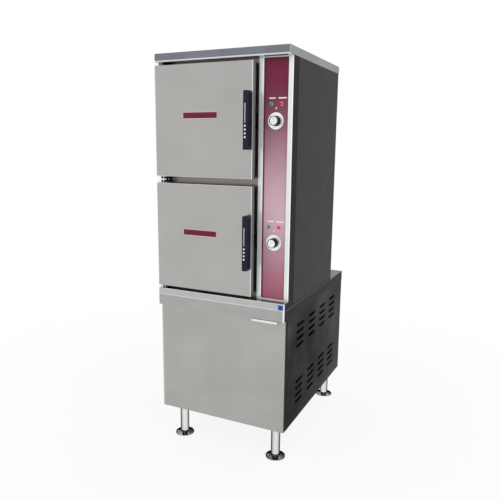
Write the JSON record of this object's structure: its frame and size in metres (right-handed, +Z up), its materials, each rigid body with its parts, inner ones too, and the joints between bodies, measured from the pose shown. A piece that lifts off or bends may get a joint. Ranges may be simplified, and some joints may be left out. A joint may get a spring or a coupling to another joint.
{
  "type": "convection steamer",
  "caption": "Floor-standing kitchen convection steamer: steel doors with black grips stacked beside a burgundy control column, on a louvred boiler base with flanged legs.",
  "frame": {"origin": "on the floor under the middle of the machine's whole width and depth", "axes": "+X to the machine's right as seen from its front, +Y from the front to the back, +Z up"},
  "size_m": [0.616, 0.914, 1.746],
  "materials": {
    "steel_panel": "brushed",
    "steel_sheet": "satin",
    "steel_liner": "satin",
    "zinc_steel": "zinc plated",
    "burgundy_panel": "satin",
    "black_plastic": "semi-gloss",
    "white_plastic": "gloss",
    "lamp_lens": "gloss",
    "seal_rubber": "matte",
    "mineral_wool": "fibrous",
    "chrome_leg": "polished",
    "brass_fitting": "cast",
    "pipe_steel": "plain",
    "copper_pipe": "plain",
    "grey_plastic": "matte"
  },
  "bodies": {
    "cabinet": {"top_cover": "steel_panel", "column_frame": "steel_panel", "front_ledge": "steel_panel", "base_deck": "steel_panel", "compartment_front": "steel_sheet", "side_panels": "steel_sheet", "rear_panel": "steel_sheet", "base_side_panels": "steel_sheet", "base_rear_panel": "steel_sheet", "base_floor": "steel_sheet", "upper_compartment": "steel_liner", "lower_compartment": "steel_liner", "pan_guides": "steel_liner", "boiler_shell": "steel_liner", "compartment_shelves": "zinc_steel", "base_frame": "zinc_steel", "control_box": "zinc_steel", "hinge_brackets": "zinc_steel", "latch_strikes": "zinc_steel", "base_door_hinges": "zinc_steel", "control_panel": "burgundy_panel", "timers": "black_plastic", "contactors": "black_plastic", "base_door_catch": "black_plastic", "indicator_lamps": "lamp_lens", "compartment_insulation": "mineral_wool", "leg_tubes": "chrome_leg", "feet": "chrome_leg", "steam_valves": "brass_fitting", "safety_valve": "brass_fitting", "drain_valve": "brass_fitting", "fill_valves": "brass_fitting", "steam_pipes": "pipe_steel", "drain_pipe": "pipe_steel", "heating_elements": "pipe_steel", "water_pipes": "copper_pipe", "cable_gland": "grey_plastic"},
    "upper_door": {"upper_door_skin": "steel_panel", "upper_door_inner_panel": "steel_sheet", "upper_door_insulation": "mineral_wool", "upper_door_gasket": "seal_rubber"},
    "lower_door": {"lower_door_skin": "steel_panel", "lower_door_inner_panel": "steel_sheet", "lower_door_insulation": "mineral_wool", "lower_door_gasket": "seal_rubber"},
    "upper_handle": {"upper_handle_grip": "black_plastic", "upper_latch_lever": "zinc_steel"},
    "lower_handle": {"lower_handle_grip": "black_plastic", "lower_latch_lever": "zinc_steel"},
    "upper_timer_knob": {"upper_dial": "white_plastic", "upper_knob": "black_plastic", "upper_timer_shaft": "pipe_steel"},
    "lower_timer_knob": {"lower_dial": "white_plastic", "lower_knob": "black_plastic", "lower_timer_shaft": "pipe_steel"},
    "base_door": {"base_door_skin": "steel_panel", "base_door_pull": "steel_panel"},
    "drain_lever": {"drain_valve_lever": "pipe_steel"},
    "safety_lever": {"safety_valve_lever": "pipe_steel"},
    "power_rocker": {"power_switch": "black_plastic"}
  },
  "joints": [
    {"name": "lower_door_hinge", "type": "hinge", "parent": "cabinet", "child": "lower_door", "pos_m": [-0.288, -0.399, 0.983], "axis": [0, 0, -1], "range_deg": [0, 180]},
    {"name": "lower_handle_pivot", "type": "hinge", "parent": "lower_door", "child": "lower_handle", "pos_m": [0.144, -0.405, 0.983], "axis": [0, 0, 1], "range_deg": [0, 12], "stiffness_Nm_per_rad": 3, "springref_deg": -8.59},
    {"name": "lower_knob_turn", "type": "hinge", "parent": "cabinet", "child": "lower_timer_knob", "pos_m": [0.23275, -0.384, 0.983], "axis": [0, 1, 0], "range_deg": [0, 300]},
    {"name": "upper_door_hinge", "type": "hinge", "parent": "cabinet", "child": "upper_door", "pos_m": [-0.288, -0.399, 1.4695], "axis": [0, 0, -1], "range_deg": [0, 180]},
    {"name": "upper_handle_pivot", "type": "hinge", "parent": "upper_door", "child": "upper_handle", "pos_m": [0.144, -0.405, 1.4695], "axis": [0, 0, 1], "range_deg": [0, 12], "stiffness_Nm_per_rad": 3, "springref_deg": -8.59},
    {"name": "upper_knob_turn", "type": "hinge", "parent": "cabinet", "child": "upper_timer_knob", "pos_m": [0.23275, -0.384, 1.4695], "axis": [0, 1, 0], "range_deg": [0, 300]},
    {"name": "base_door_hinge", "type": "hinge", "parent": "cabinet", "child": "base_door", "pos_m": [-0.292, -0.3854, 0.413], "axis": [0, 0, -1], "range_deg": [0, 130]},
    {"name": "drain_lever_turn", "type": "hinge", "parent": "cabinet", "child": "drain_lever", "pos_m": [0.053, -0.094, 0.234], "axis": [0, 1, 0], "range_deg": [0, 90]},
    {"name": "safety_lever_lift", "type": "hinge", "parent": "cabinet", "child": "safety_lever", "pos_m": [-0.04, -0.0025, 0.6555], "axis": [-1, 0, 0], "range_deg": [0, 30], "stiffness_Nm_per_rad": 0.3, "springref_deg": -17.19},
    {"name": "power_switch_rock", "type": "hinge", "parent": "cabinet", "child": "power_rocker", "pos_m": [0.22625, -0.33912, 0.52], "axis": [-1, 0, 0], "range_deg": [0, 24]}
  ]
}
